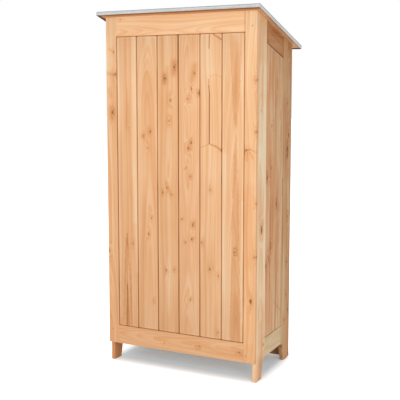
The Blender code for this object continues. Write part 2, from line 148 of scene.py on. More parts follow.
# Larch from pale sapwood to the black of a crack: place on the ramp and linear colour
LARCH = (
    (0.00, (0.92, 0.680, 0.430)),
    (0.30, (0.82, 0.450, 0.227)),
    (0.50, (0.72, 0.350, 0.154)),
    (0.75, (0.495, 0.210, 0.074)),
    (1.00, (0.22, 0.080, 0.027)),
)
TONES = {"front_wood": (1.0, 1.0, 1.0), "side_wood": (0.86, 0.84, 0.84), "inner_wood": (0.92, 0.97, 1.00)}
USUAL_DEPTH = 0.27
USUAL_BROAD = 0.06

# Steps on the ramp, from the low to the high end of each part of the wood's figure
CLOUD_STEP = 0.04
CLOUD_PER_BROAD = 0.18
BAND_STEP = (-0.04, 0.08)
LATE_STEP = (-0.03, 0.10)
STREAK_STEP = (0.10, -0.10)
FIBRE_STEP = (0.05, -0.05)
HALO_STEP = (0.06, 0.28)
CORE_STEP = 0.26
RIM_STEP = 0.5
# Painted highlight: a pale band on the face beside a board's edges
ARRIS_HIGHLIGHT_STEP = -0.08
END_GRAIN_STEP = 0.22

# The same for a board's long joints and its ends
SIDE_JOINTS = (0.12, 0.75)
OTHER_JOINTS = (0.42, 0.14)

# Growth rings: their width, and how far the pith wanders, the rings ripple and the noise stirs knots about
RING_W = 4.6 * MM
WANDER = 0.030
RIPPLE = 0.0025
STIR = (0.016, 0.0, 0.020)
DRIFT = 1.2
DRIFT_GRAIN = 45.0
BAND_GRAIN = 95.0
BAND_EDGE = (0.35, 0.75)
LATE_RISE = (0.2, 0.88)
LATE_FALL = (0.92, 1.0)
YEARS = (0.35, 1.0)
CLOUD_EDGE = (0.3, 0.7)
CLOUD_SEED = 20.0
BROAD_SEED = 5.0

# Knots, in radii across and along, and flames
KNOT_PUSH = (2.0, 4.5)
KNOT_STAIN = (2.6, 4.5)
KNOT_CORE = (1.0, 1.25)
KNOT_EDGE = (0.05, 0.9)
KNOT_SWELL = 1.4
FLAME_EDGE = (-1.0 * MM, 5.0 * MM)
FLAME_FOOT = (0.75, 1.05)

# Joints between boards: from and to where each share rises or falls, below the face or out from the edge
BACK_FALL = (4.0 * MM, 3.0 * MM)
SUNK = (0.02 * MM, 0.2 * MM)
LONG_JOINT = (-6.5 * MM, -4.5 * MM)
END_JOINT = (-4.8 * MM, -3.6 * MM)
# Rise and fall of the painted highlight on the face beside a board's edges
HIGHLIGHT_RISE = (-12.0 * MM, -6.5 * MM)
HIGHLIGHT_FALL = (-4.5 * MM, -3.5 * MM)
END_FACING = (0.8, 0.95)

# Ranges to draw from for what isn't given
SEEDS = (0.0, 50.0)
PITH_ACROSS = (-35, 35)
PITH_DEPTH = (30, 80)
LEANS = (0.012, 0.035)
KNOTS_PER_METRE = (2.5, 5.0)
KNOT_RADIUS = (4, 9)

# The wood's surface: roughness at both ends of its noise, shine, and strength and depth of the relief
WOOD_ROUGH = (0.52, 0.70)
WOOD_SHINE = {"Specular IOR Level": 0.15}
WOOD_RELIEF = (0.3, 0.3 * MM)

# Turned steel with dull patches, stained pin heads and plastic with a fine grain: the noises of tone and
# roughness with their seeds and details, two tones, both ends of the roughness, relief, plain values
FINISHES = {
    "plated_steel": (
        ("turning", 5.0), ("dull", 8.0), ((0.40, 0.40, 0.39), (0.56, 0.56, 0.54)), (0.26, 0.48), (),
        {"Metallic": 1.0},
    ),
    # Painted shade: dark steel for the pivot pins, to sit in the shade of the door gaps
    "greased_steel": (
        ("turning", 5.0), ("dull", 8.0), ((0.13, 0.11, 0.09), (0.22, 0.19, 0.16)), (0.35, 0.55), (),
        {"Metallic": 1.0},
    ),
    "brown_pins": (
        ("stain", 4.0), ("stain", 4.0), ((0.36, 0.160, 0.066), (0.46, 0.215, 0.092)), (0.55, 0.75), (),
        {"Specular IOR Level": 0.05},
    ),
    "dark_plastic": (
        ("moulding", 2.0, 1.0), ("moulding", 2.0, 1.0), ((0.045, 0.045, 0.048), (0.062, 0.062, 0.066)),
        (0.42, 0.56), (0.2, 0.1 * MM), {},
    ),
}

# Zinc: its greys, the painted shade of a line under the fold and its half width, the painted shade inside
# the lips, the front lighter at the left end and darker at the right
ZINC_GREYS = ((0.41, 0.415, 0.41), (0.60, 0.60, 0.585))
SPANGLES = 85.0
FLAKE_SHADE = (-0.10, 0.10)
BLOOM_SHADE = (0.25, 0.75)
FOLD_PAINTED_SHADE = (0.24, 0.255, 0.27)
FOLD_LINE = 2.2 * MM
FOLD_HALF_W = 2.0 * MM
INSIDE_PAINTED_SHADE = (0.035, 0.028, 0.024)
INSIDE_FACING = (-0.10, -0.20)
FRONT_FACING = (0.5, 0.9)
FRONT_LEFT_TO_RIGHT = (0.14, -0.17)
ZINC_ROUGH = (0.56, 0.40)
ZINC_METAL = {"Metallic": 0.45}
ZINC_RELIEF = (0.08, 0.2 * MM)

# How a piece's own across, depth and along axes lie in the cabinet, and the axis that its grain follows
QUARTER = math.radians(90)
GRAIN = {
    "up": (0.0, 0.0, 0.0),
    "up_side": (0.0, 0.0, -QUARTER),
    "wide": (0.0, -QUARTER, 0.0),
    "deep": (QUARTER, 0.0, QUARTER),
    "flat": (0.0, -QUARTER, -QUARTER),
}
END_AXIS = {"up": "Z", "up_side": "Z", "wide": "X", "deep": "Y", "flat": "X"}
PANELS = ("floor_panel", "shelf_lower", "shelf_upper", "roof_deck")

# Pieces as the photograph shows them, in millimetres from the piece's middle line and along its length.
# Knots are (across, along, radius). Marks are dark strokes and lights pale ones: (across, along, across,
# along, half width, strength), without the second across if it's the same. Flames are arched bands of
# heartwood: (across, tip, foot, half width at the foot, strength). The pith is (across, depth) and leans.
# Depth is the piece's place on the larch ramp, tone tints it, and broad is the step of its wide streaks.
WOOD = {
    "front_stile_left": dict(
        pith=(-30, 60), lean=0.01, tone=(1.01, 1.0, 1.0),
        knots=((2, 1326, 8.5), (-27, 598, 8), (15, 1635, 5), (23, 1521, 8)),
        marks=(
            (31, 200, 1712, 2.5, 0.3), (-27, 611, 587, 5, 0.18), (2, 1350, 1295, 13, 0.14),
            (-25, 1528, 20, 1516, 8, 0.16), (-12, 1652, 15, 1634, 7, 0.14), (-15, 1443, -6, 1408, 14, 0.14),
            (0, 640, 330, 45, 0.05), (0, 330, 110, 45, 0.09),
        ),
        lights=((0, 1800, 1560, 40, 0.16), (0, 1560, 1400, 40, 0.07)),
    ),
    "front_stile_right": dict(
        pith=(60, 90), lean=0.006, tone=(1.04, 1.03, 1.0),
        knots=((28, 1486, 7.5), (28, 1240, 7), (-20, 1152, 6), (28, 897, 6), (27, 635, 6.5), (6, 413, 10)),
        marks=(
            (-24, 1153, 2, 1156, 4, 0.3), (2, 1156, 30, 1144, 3, 0.2), (-29, 1152, -30, 1101, 4, 0.3),
            (-14, 1141, -18, 1101, 3, 0.25), (-2, 1143, 14, 1113, 3, 0.25), (-31, 200, 1712, 2.5, 0.3),
            (0, 960, 600, 30, 0.08), (6, 422, 404, 6, 0.3), (0, 175, 100, 40, 0.1), (0, 260, 175, 40, 0.05),
        ),
        lights=((0, 1800, 1200, 40, 0.08),),
    ),
    "front_top_rail": dict(
        pith=(25, 45), lean=0.03, depth=0.21, tone=(1.1, 1.09, 1.08),
        knots=((-35, -330, 4),),
        marks=((-50, 356.5, 50, 356.5, 1.8, 0.35), (49.5, -357, 357, 2.5, 0.12)),
    ),
    "front_bottom_rail": dict(
        pith=(-10, 55), lean=-0.03, tone=(0.96, 0.925, 0.89),
        knots=((13, -85, 5), (3, 113, 6), (1, 336, 7)),
        marks=((-49, -357, 357, 2.5, 0.15),),
    ),
    "door_left_board_1": dict(
        pith=(-40, 20), lean=0.004, depth=0.29,
        knots=((27, 645, 5.5),),
        marks=((-4, 215, -7, 420, 9, 0.07), (11, 1250, 9, 900, 4, 0.1)),
        lights=(
            (44, 1720, 40, 1000, 14, 0.19), (40, 1000, 46, 760, 12, 0.17), (46, 760, 54, 500, 8, 0.1),
            (-50, 1700, 250, 8, 0.1),
        ),
        flames=(
            (-7, 708, 150, 34, 0.24), (-7, 640, 150, 24, -0.17), (-7, 450, 80, 16, 0.25),
            (0, 1480, 1200, 14, 0.12),
        ),
    ),
    "door_left_board_2": dict(
        pith=(15, 60), lean=0.025, tone=(1.0, 0.985, 0.98),
        knots=((-24, 1206, 5), (17, 1231, 4.5), (2, 1149, 4.5), (23, 792, 4), (6, 705, 5.3), (32, 354, 4)),
        marks=((17, 1248, 1215, 11, 0.14), (-24, 1216, 1196, 11, 0.14), (0, 860, 600, 45, 0.03)),
        lights=((0, 1360, 1020, 45, 0.05),),
    ),
    "door_left_board_3": dict(
        pith=(5, 50), lean=-0.015, tone=(0.965, 0.945, 0.92),
        knots=(
            (-15, 1497, 6), (38, 1551, 5), (14, 1390, 7), (7, 1288, 6.5), (-6, 949, 6.5), (19, 915, 4.5),
            (-31, 923, 4.5), (-12, 522, 6), (33, 530, 4.5),
        ),
        marks=(
            (38, 1577, 34, 1522, 17, 0.22), (-15, 1514, 1479, 15, 0.16), (-10, 960, 22, 910, 9, 0.1),
            (0, 760, 580, 45, 0.06),
        ),
        lights=((-8, 1720, -2, 1570, 12, 0.12),),
        flames=((0, 262, 620, 16, -0.1),),
    ),
    "door_right_board_3": dict(
        pith=(-5, 35), lean=0.012, tone=(1.0, 0.99, 1.0),
        knots=(
            (28, 1519, 4), (14, 1446, 7), (-7, 1397, 7.5), (51, 1424, 5.5), (12, 1181, 6), (-5, 1153, 7),
            (-18, 1055, 4.5), (5, 1012, 4.5), (-37, 795, 3.5), (20, 770, 5.5), (13, 696, 6.5),
            (-21, 677, 4.5), (5, 386, 5),
        ),
        marks=(
            (30, 1556, 18, 1492, 17, 0.21), (51, 1440, 1410, 7, 0.16), (12, 1190, 4, 1154, 11, 0.14),
            (20, 782, 18, 762, 12, 0.12),
        ),
        lights=((0, 1580, 1380, 45, 0.06), (0, 480, 330, 45, 0.06)),
    ),
    "door_right_board_2": dict(
        pith=(-120, 60), lean=0.01, tone=(1.02, 1.04, 1.06),
        knots=(
            (58, 1151, 3.5), (-3, 951, 5.5), (-50, 683, 7), (-3, 553, 7.5), (43, 523, 5.5), (40, 233, 5),
        ),
        marks=(
            (-7.5, 1178, 1425, 2.8, 0.82), (-7.5, 1425, -11, 1462, 2.6, 0.75), (-11, 1462, 1492, 2.4, 0.45),
            (-10, 1640, -8, 1706, 2.4, 0.6), (-10, 1178, -52, 1158, 3.0, 0.2),
            (-10, 1178, 26, 1166, 3.5, 0.38), (26, 1168, 58, 1146, 5.0, 0.33),
            (12, 1708, 54, 1681, 4.0, 0.4), (-8, 1503, 22, 1514, 3.5, 0.1), (22, 1514, 52, 1503, 3.5, 0.1),
            (0, 960, 600, 45, 0.06),
        ),
        lights=((0, 1700, 1540, 45, 0.08),),
    ),
    "door_right_board_1": dict(
        pith=(15, 60), lean=0.006, depth=0.23,
        knots=((11, 650, 5),),
        lights=((0, 1720, 1540, 60, 0.05), (-44, 1120, -42, 220, 18, 0.11), (52, 900, 54, 300, 7, 0.1)),
        flames=((14, 1252, 1740, 36, 0.19), (14, 1340, 1740, 17, 0.06), (16, 1240, 100, 32, 0.2)),
    ),
    "side_right_front_stile": dict(
        pith=(-10, 160), lean=0.01, depth=0.09, tone=(1.09, 1.2, 1.3), broad=0.34,
        knots=((1, 758, 12), (-17, 1344, 9), (32, 169, 9)),
        marks=(
            (0, 1800, 1600, 60, 0.24), (0, 1560, 1400, 60, 0.1), (0, 940, 780, 60, 0.1),
            (1, 774, 744, 9, 0.7), (4, 1610, 1520, 10, 0.24), (-46, 1330, 1180, 6, 0.15),
            # The first stroke darkens the foot towards the floor: painted shade
            (0, 0, 60, 80, 0.3), (0, 330, 200, 60, 0.2),
        ),
        lights=((0, 1320, 1170, 60, 0.08),),
    ),
    "side_right_rear_stile": dict(
        pith=(30, 40), lean=0.02, tone=(0.75, 0.73, 0.665), broad=0.7,
        knots=(
            (19, 1662, 9), (10, 1375, 9), (29, 1207, 11), (14, 1135, 12), (29, 777, 9), (22, 532, 10),
            (12, 353, 9), (50, 265, 10), (0, 220, 10), (-25, 86, 8),
        ),
        marks=(
            (19, 1693, 1633, 6, 0.3), (10, 1412, 1342, 12, 0.15), (29, 1245, 1175, 8, 0.25),
            (14, 1175, 1095, 14, 0.35), (-52, 985, 895, 4, 0.45), (0, 1700, 1530, 60, 0.25),
            # The last stroke darkens the foot towards the floor: painted shade
            (0, 1530, 1340, 60, 0.15), (0, 1340, 1150, 60, 0.05), (0, 0, 130, 80, 0.14),
        ),
        lights=((0, 920, 560, 60, 0.07),),
    ),
    "side_right_board_1": dict(
        pith=(-5, 45), lean=0.025, tone=(0.885, 0.81, 0.745), broad=0.66,
        knots=(
            (14, 1264, 11), (14, 1053, 10), (-41, 1009, 11), (12, 653, 9), (-15, 591, 9), (-51, 566, 10),
        ),
        marks=(
            (-41, 1039, -38, 979, 8, 0.22), (-51, 599, -50, 534, 6, 0.25), (0, 860, 300, 60, 0.11),
            (0, 1720, 1420, 60, 0.11),
        ),
        lights=((0, 1340, 1150, 60, 0.05), (0, 1130, 960, 60, 0.09)),
    ),
    "side_right_board_2": dict(
        pith=(10, 50), lean=-0.02, tone=(0.85, 0.815, 0.755), broad=0.66,
        knots=((-30, 865, 10),),
        marks=(
            (-28, 1491, 1451, 10, 0.2), (-38, 1418, 1363, 10, 0.14), (18, 1336, 1296, 5, 0.28),
            (27, 1252, 1187, 5, 0.28), (-30, 893, 838, 7, 0.3), (-22, 853, -10, 833, 5, 0.22),
            (-51, 361, 24, 306, 6, 0.25), (24, 306, 40, 291, 6, 0.32), (0, 900, 340, 60, 0.11),
            (0, 740, 560, 60, 0.17),
        ),
        lights=(
            (10, 1371, 9, 1217, 12, 0.14), (4, 1103, 3, 876, 12, 0.15), (7, 483, -13, 344, 12, 0.15),
            (0, 1500, 1360, 60, 0.09), (0, 1340, 980, 60, 0.04),
        ),
    ),
    "side_right_bottom_rail": dict(pith=(10, 140), lean=0.0, depth=0.1, tone=(0.85, 0.915, 0.91)),
    "side_right_top_rail": dict(
        pith=(-15, 40), lean=0.06, depth=0.46, tone=(0.74, 0.67, 0.585), broad=0.24,
        knots=(),
        # Painted shadow: the strokes beside the front stile and along the lower edge
        marks=(
            (-25, -117, 90, -117, 10, 0.5), (-22, -124, -86, 107, 5, 0.7), (66, -117, 4, 107, 9, 0.22),
            (28, -60, -24, 90, 4, 0.25),
        ),
    ),
    # Painted shade: the stroke darkens the foot towards the floor
    "side_left_front_stile": dict(tone=(0.95, 0.88, 0.82), marks=((0, 0, 110, 80, 0.25),)),
    "roof_deck": dict(
        tone=(0.92, 0.95, 0.94),
        # Painted shade: the band along the front edge and the strokes at both ends lie under the cover's
        # lips
        marks=(
            (-278, -450, 450, 17, 0.62), (-300, 445, 300, 445, 7, 0.4), (-300, -442, 300, -442, 12, 0.55),
        ),
    ),
    # Painted shade: each back board darker at its foot, in the deep shade under the cabinet
    **{f"back_board_{i}": dict(marks=((0, 20, 110, 70, 0.2),)) for i in range(1, BACK_BOARDS + 1)},
}


class Net:
    """Short words for building one node tree."""

    mix_inputs = (0, 6, 7)
    mix_output = 2

    def __init__(self, tree):
        self.tree = tree

    def __getitem__(self, name):
        return self.given[name]

    def feed(self, socket, value):
        if isinstance(value, bpy.types.NodeSocket):
            self.tree.links.new(value, socket)
        else:
            socket.default_value = value

    def give(self, name, value):
        self.feed(self.result[name], value)

    def node(self, kind, inputs=None, **settings):
        """New node. Its inputs go by name or by number."""
        made = self.tree.nodes.new(kind)
        for key, value in settings.items():
            setattr(made, key, value)
        for key, value in (inputs or {}).items():
            self.feed(made.inputs[key], value)
        return made

    def first(self, kind, inputs=None, **settings):
        return self.node(kind, inputs, **settings).outputs[0]

    def geometry(self, kind, start, inputs=None, **settings):
        """Geometry node with the start as its first input."""
        return self.first("GeometryNode" + kind, {0: start, **(inputs or {})}, **settings)

    def group(self, name, inputs):
        return self.node("ShaderNodeGroup", inputs, node_tree=bpy.data.node_groups[name]).outputs

    def math(self, operation, *values):
        return self.first("ShaderNodeMath", dict(enumerate(values)), operation=operation)

    minus = partialmethod(math, "SUBTRACT")
    times = partialmethod(math, "MULTIPLY")
    times_add = partialmethod(math, "MULTIPLY_ADD")
    over = partialmethod(math, "DIVIDE")
    root = partialmethod(math, "SQRT")
    max = partialmethod(math, "MAXIMUM")
    abs = partialmethod(math, "ABSOLUTE")
    above = partialmethod(math, "GREATER_THAN")

    def add(self, *values):
        total = values[0]
        for value in values[1:]:
            total = self.math("ADD", total, value)
        return total

    def length(self, a, b):
        return self.root(self.add(self.times(a, a), self.times(b, b)))

    def bell(self, *squares):
        """Gaussian of already squared distances."""
        return self.math("EXPONENT", self.times(self.add(*squares), -1.0))

    def smooth(self, value, low, high):
        """Rises from 0 at low to 1 at high."""
        inputs = {"Value": value, "From Min": low, "From Max": high}
        return self.first("ShaderNodeMapRange", inputs, interpolation_type="SMOOTHSTEP")

    def fade(self, value, low, high):
        """Falls from 1 at low to 0 at high."""
        return self.minus(1.0, self.smooth(value, low, high))

    def span(self, value, low, high):
        """Carries 0..1 to low..high."""
        return self.first("ShaderNodeMapRange", {"Value": value, "To Min": low, "To Max": high})

    def split(self, vector):
        return self.node("ShaderNodeSeparateXYZ", {"Vector": vector}).outputs

    def upwards(self, height):
        return self.first("ShaderNodeCombineXYZ", {"Z": height})

    def vector(self, operation, *values, out="Vector"):
        return self.node("ShaderNodeVectorMath", dict(enumerate(values)), operation=operation).outputs[out]

    def dot(self, a, b):
        return self.vector("DOT_PRODUCT", a, b, out="Value")

    def scaled(self, vector, share):
        return self.first("ShaderNodeVectorMath", {"Vector": vector, "Scale": share}, operation="SCALE")

    def noise(self, point, kind, seed, detail=2.0, out="Fac"):
        point = self.vector("MULTIPLY", point, NOISE[kind])
        inputs = {"Vector": point, "W": seed, "Scale": 1.0, "Detail": detail}
        return self.node("ShaderNodeTexNoise", inputs, noise_dimensions="4D").outputs[out]

    def mix(self, factor, a, b, blend="MIX"):
        """Colour from a to b, each a socket or plain red, green and blue."""
        values = [(*value, 1.0) if isinstance(value, tuple) else value for value in (factor, a, b)]
        inputs = dict(zip(self.mix_inputs, values))
        made = self.node("ShaderNodeMix", inputs, data_type="RGBA", blend_type=blend)
        return made.outputs[self.mix_output]

    def coat(self, shader, colour, roughness, relief, plain):
        """Feeds a shader. The relief is a height with its strength and depth."""
        inputs = {"Base Color": colour, "Roughness": roughness, **plain}
        if relief:
            bump = dict(zip(("Height", "Strength", "Distance"), relief))
            inputs["Normal"] = self.first("ShaderNodeBump", bump)
        for name, value in inputs.items():
            self.feed(shader.inputs[name], value)


def new_group(name, kind, inputs, outputs):
    """Empty node group with its sockets, as a Net that knows them by name."""
    tree = bpy.data.node_groups.new(name, kind)
    for way, sockets in (("INPUT", inputs), ("OUTPUT", outputs)):
        for socket, socket_kind in sockets.items():
            tree.interface.new_socket(socket, in_out=way, socket_type="NodeSocket" + socket_kind)
    net = Net(tree)
    net.given = tree.nodes.new("NodeGroupInput").outputs
    net.result = tree.nodes.new("NodeGroupOutput").inputs
    return net


def shader_group(name, vectors, floats, outputs):
    inputs = {**dict.fromkeys(vectors, "Vector"), **dict.fromkeys(floats, "Float")}
    return new_group(name, "ShaderNodeTree", inputs, dict.fromkeys(outputs, "Float"))


def geometry_group(name, floats, vectors=()):
    values = {**dict.fromkeys(floats, "Float"), **dict.fromkeys(vectors, "Vector")}
    inputs = {"Geometry": "Geometry", **values, "Finish": "Material"}
    return new_group(name, "GeometryNodeTree", inputs, {"Geometry": "Geometry"})


def knot_group():
    """One knot: how far it pushes the growth rings aside, its dark core and the stain along the grain."""
    results = ("Swell", "Core", "Halo")
    net = shader_group("knot", ("Point",), ("Across", "Along", "Size", *results), results)
    point = net.split(net["Point"])

    def squares(reach):
        for axis, centre, stretch in zip("XZ", ("Across", "Along"), reach):
            away = net.over(net.minus(point[axis], net[centre]), net["Size"])
            away = net.over(away, stretch)
            yield net.times(away, away)

    push = net.times(net.bell(*squares(KNOT_PUSH)), net.times(net["Size"], KNOT_SWELL))
    core = net.fade(net.add(*squares(KNOT_CORE)), *KNOT_EDGE)
    net.give("Swell", net.add(net["Swell"], push))
    net.give("Core", net.max(net["Core"], core))
    net.give("Halo", net.max(net["Halo"], net.bell(*squares(KNOT_STAIN))))


def mark_group():
    """One stroke from start to end, such as a pith streak, a drying crack or the edge of a spike knot."""
    net = shader_group("mark", ("Point", "Start", "End"), ("Half Width", "Strength", "Mark"), ("Mark",))
    flat = net.vector("MULTIPLY", net["Point"], (1.0, 0.0, 1.0))
    away = net.vector("SUBTRACT", flat, net["Start"])
    stroke = net.vector("SUBTRACT", net["End"], net["Start"])
    share = net.over(net.dot(away, stroke), net.dot(stroke, stroke))
    share = net.first("ShaderNodeClamp", {"Value": share})
    away = net.vector("SUBTRACT", away, net.scaled(stroke, share))
    width = net.times(net["Half Width"], net["Half Width"])
    line = net.times(net.bell(net.over(net.dot(away, away), width)), net["Strength"])
    net.give("Mark", net.max(net["Mark"], line))


def flame_group():
    """One arched band of heartwood that starts at its tip and widens to its foot."""
    floats = ("Across", "Tip", "Foot", "Half Width", "Strength")
    net = shader_group("flame", ("Point",), floats, ("Flame",))
    point = net.split(net["Point"])
    share = net.over(net.minus(point["Z"], net["Tip"]), net.minus(net["Foot"], net["Tip"]))
    wide = net.times(net.root(net.max(share, 0.0)), net["Half Width"])
    away = net.abs(net.minus(point["X"], net["Across"]))
    inside = net.smooth(net.minus(wide, away), *FLAME_EDGE)
    inside = net.times(inside, net.fade(share, *FLAME_FOOT))
    net.give("Flame", net.times(inside, net["Strength"]))


def growth_group():
    """Growth rings round a leaning pith, read at a point that is across, deep and along the piece."""
    floats = ("Seed", "Pith Across", "Pith Depth", "Lean", "Ring", "Swell")
    net = shader_group("growth", ("Point",), floats, ("Late", "Band", "Broad", "Streak", "Fibre"))
    point, seed = net["Point"], net["Seed"]
    place = net.split(point)
    slow = net.split(net.noise(point, "wander", seed, detail=1.0, out="Color"))
    away = net.minus(place["X"], net["Pith Across"])
    away = net.add(away, net.span(slow["X"], -WANDER, WANDER))
    deep = net.times_add(net["Lean"], place["Z"], net["Pith Depth"])
    deep = net.add(net.minus(deep, place["Y"]), net.span(slow["Y"], -WANDER, WANDER))
    ripple = net.span(net.noise(point, "ripple", seed), -RIPPLE, RIPPLE)
    radius = net.add(net.length(away, deep), net["Swell"], ripple)

    def along_radius(scale):
        inputs = {"W": net.times_add(radius, scale, seed), "Scale": 1.0, "Detail": 1.0}
        return net.first("ShaderNodeTexNoise", inputs, noise_dimensions="1D")

    drift = net.span(along_radius(DRIFT_GRAIN), -DRIFT, DRIFT)
    rings = net.add(net.over(radius, net["Ring"]), drift)
    turn = net.math("FRACT", rings)
    late = net.times(net.smooth(turn, *LATE_RISE), net.fade(turn, *LATE_FALL))
    year = {"W": net.add(net.math("FLOOR", rings), seed)}
    year = net.first("ShaderNodeTexWhiteNoise", year, noise_dimensions="1D")
    net.give("Late", net.times(late, net.span(year, *YEARS)))
    net.give("Band", net.smooth(along_radius(BAND_GRAIN), *BAND_EDGE))
    net.give("Broad", net.noise(point, "broad", net.add(seed, BROAD_SEED)))
    net.give("Streak", net.noise(point, "streak", seed))
    net.give("Fibre", net.noise(point, "fibre", seed))


def new_material(name):
    """Material with its net, its shader and the coordinates of what it covers."""
    made = bpy.data.materials.new(name)
    made.use_nodes = True
    net = Net(made.node_tree)
    source = net.node("ShaderNodeTexCoord").outputs
    return made, net, made.node_tree.nodes["Principled BSDF"], source


def joint_masks(net, point, size, middle, face, slope):
    """Shares of a painted highlight beside a board's edges, of the dark in its long joints and at its two
    ends.
    """
    place = net.split(point)
    half_w, half_l, thick = abs(size.x) / 2, abs(size.z) / 2, abs(size.y)
    below = net.times_add(place["Y"], face, thick / 2)
    beside = net.minus(net.abs(place["X"]), half_w)
    head = net.times_add(place["X"], slope, place["Z"])
    above_head = net.minus(head, middle.z + half_l - slope * half_w)
    ends = net.max(above_head, net.minus(middle.z - half_l, place["Z"]))
    from_edge = net.max(beside, ends)
    front_part = net.fade(below, *(thick - depth for depth in BACK_FALL))
    sunk = net.times(net.smooth(below, *SUNK), front_part)
    long_joint = net.times(net.smooth(beside, *LONG_JOINT), sunk)
    end_joint = net.times(net.smooth(ends, *END_JOINT), front_part)
    # Painted highlight: pale on the face just beside the edges
    pale = net.minus(net.smooth(from_edge, *HIGHLIGHT_RISE), net.smooth(from_edge, *HIGHLIGHT_FALL))
    return pale, long_joint, end_joint


def board_face(node):
    """The board's box without its tongues."""
    low, high = (corner.copy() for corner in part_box(node))
    axis = 1 if node.startswith("side") else 0
    kinds = board_kinds(node)
    if kinds[0] == "tongue":
        low[axis] += TONGUE_L
        high.z -= TONGUE_L * math.tan(ROOF_PITCH) if axis == 1 else 0.0
    high[axis] -= TONGUE_L if kinds[1] == "tongue" else 0.0
    return low, high


def in_metres(names, values):
    return {name: value * MM for name, value in zip(names, values)}


def larch(
    node, tone, depth=USUAL_DEPTH, pith=None, lean=None, broad=USUAL_BROAD, knots=None,
    marks=(), lights=(), flames=(),
):
    """Planed larch for one piece. What isn't given is drawn from a seed of the piece's own name."""
    draw = random.Random(node)
    seed = draw.uniform(*SEEDS)
    grain = grain_of(node)
    turn = Euler(GRAIN[grain])
    is_board = "_board_" in node
    low, high = board_face(node) if is_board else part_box(node)
    size = turn.to_matrix() @ (high - low)
    middle = turn.to_matrix() @ ((high + low) / 2)
    if pith is None:
        pith = (draw.uniform(*PITH_ACROSS), draw.uniform(*PITH_DEPTH))
    if lean is None:
        lean = draw.uniform(*LEANS) * draw.choice((-1, 1))
    if knots is None:
        count = round(abs(size.z) * draw.uniform(*KNOTS_PER_METRE))
        half_w, half_l = abs(size.x) / 2 / MM, abs(size.z) / 2 / MM
        knots = []
        for _ in range(count):
            along = middle.z / MM + draw.uniform(-half_l, half_l)
            knots.append((draw.uniform(-half_w, half_w), along, draw.uniform(*KNOT_RADIUS)))

    made, net, shader, source = new_material(node + "_larch")
    inputs = {"Vector": source["Object"], "Rotation": turn, "Location": (-middle.x, -middle.y, 0.0)}
    point = net.first("ShaderNodeMapping", inputs)
    stirred = net.vector("MULTIPLY_ADD", net.noise(point, "stir", seed, out="Color"), STIR, point)
    stirred = net.vector("SUBTRACT", stirred, Vector(STIR) / 2)
    bent = {"Swell": 0.0, "Core": 0.0, "Halo": 0.0}
    for knot in knots:
        inputs = {"Point": stirred, **in_metres(("Across", "Along", "Size"), knot), **bent}
        outputs = net.group("knot", inputs)
        bent = {name: outputs[name] for name in bent}

    def strokes(given):
        drawn = 0.0
        for x0, z0, *slant, z1, half_width, strength in given:
            x1 = slant[0] if slant else x0
            ends = {"Start": (x0 * MM, 0.0, z0 * MM), "End": (x1 * MM, 0.0, z1 * MM)}
            inputs = {"Point": point, "Half Width": half_width * MM, "Strength": strength, "Mark": drawn}
            drawn = net.group("mark", {**ends, **inputs})["Mark"]
        return drawn

    inputs = {"Point": point, "Seed": seed, "Lean": lean, "Ring": RING_W, "Swell": bent["Swell"]}
    inputs.update(in_metres(("Pith Across", "Pith Depth"), pith))
    growth = net.group("growth", inputs)
    cloud = net.smooth(net.noise(point, "cloud", seed + CLOUD_SEED), *CLOUD_EDGE)
    cloud_step = CLOUD_STEP + broad * CLOUD_PER_BROAD
    parts = [
        net.span(cloud, depth - cloud_step, depth + cloud_step),
        net.span(growth["Band"], *BAND_STEP),
        net.span(growth["Late"], *LATE_STEP),
        net.span(growth["Broad"], broad, -broad),
        net.span(growth["Streak"], *STREAK_STEP),
        net.span(growth["Fibre"], *FIBRE_STEP),
    ]
    for *places, strength in flames:
        inputs = in_metres(("Across", "Tip", "Foot", "Half Width"), places)
        inputs.update({"Point": stirred, "Strength": strength})
        parts.append(net.group("flame", inputs)["Flame"])
    if knots:
        core = bent["Core"]
        parts.append(net.times(bent["Halo"], net.span(growth["Late"], *HALO_STEP)))
        parts.append(net.times(core, CORE_STEP))
        parts.append(net.times(net.times(core, net.minus(1.0, core)), RIM_STEP))
    if marks:
        parts.append(strokes(marks))
    if lights:
        parts.append(net.times(strokes(lights), -1.0))
    if is_board:
        on_side = node.startswith("side")
        face = -1.0 if node.startswith(("back", "side_left")) else 1.0
        masks = joint_masks(net, point, size, middle, face, math.tan(ROOF_PITCH) if on_side else 0.0)
        steps = (ARRIS_HIGHLIGHT_STEP, *(SIDE_JOINTS if on_side else OTHER_JOINTS))
        parts += [net.times(mask, step) for mask, step in zip(masks, steps)]
    across_grain = net.abs(net.split(source["Normal"])[END_AXIS[grain]])
    parts.append(net.times(net.smooth(across_grain, *END_FACING), END_GRAIN_STEP))
    ramp = net.node("ShaderNodeValToRGB", {"Fac": net.add(*parts)})
    stops = ramp.color_ramp.elements
    for number, (place, colour) in enumerate(LARCH):
        stop = stops[number] if number < len(stops) else stops.new(place)
        stop.position = place
        stop.color = (*colour, 1.0)
    colour = net.mix(1.0, ramp.outputs["Color"], tone, "MULTIPLY")
    relief = net.add(growth["Fibre"], growth["Late"])
    net.coat(shader, colour, net.span(growth["Fibre"], *WOOD_ROUGH), (relief, *WOOD_RELIEF), WOOD_SHINE)
    return made


def roof_front():
    """Middle of the roof's front edge, where the sheet folds down."""
    low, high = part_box("roof_sheet")
    return Vector((0.0, low.y + LIP_H * math.sin(ROOF_PITCH), high.z))


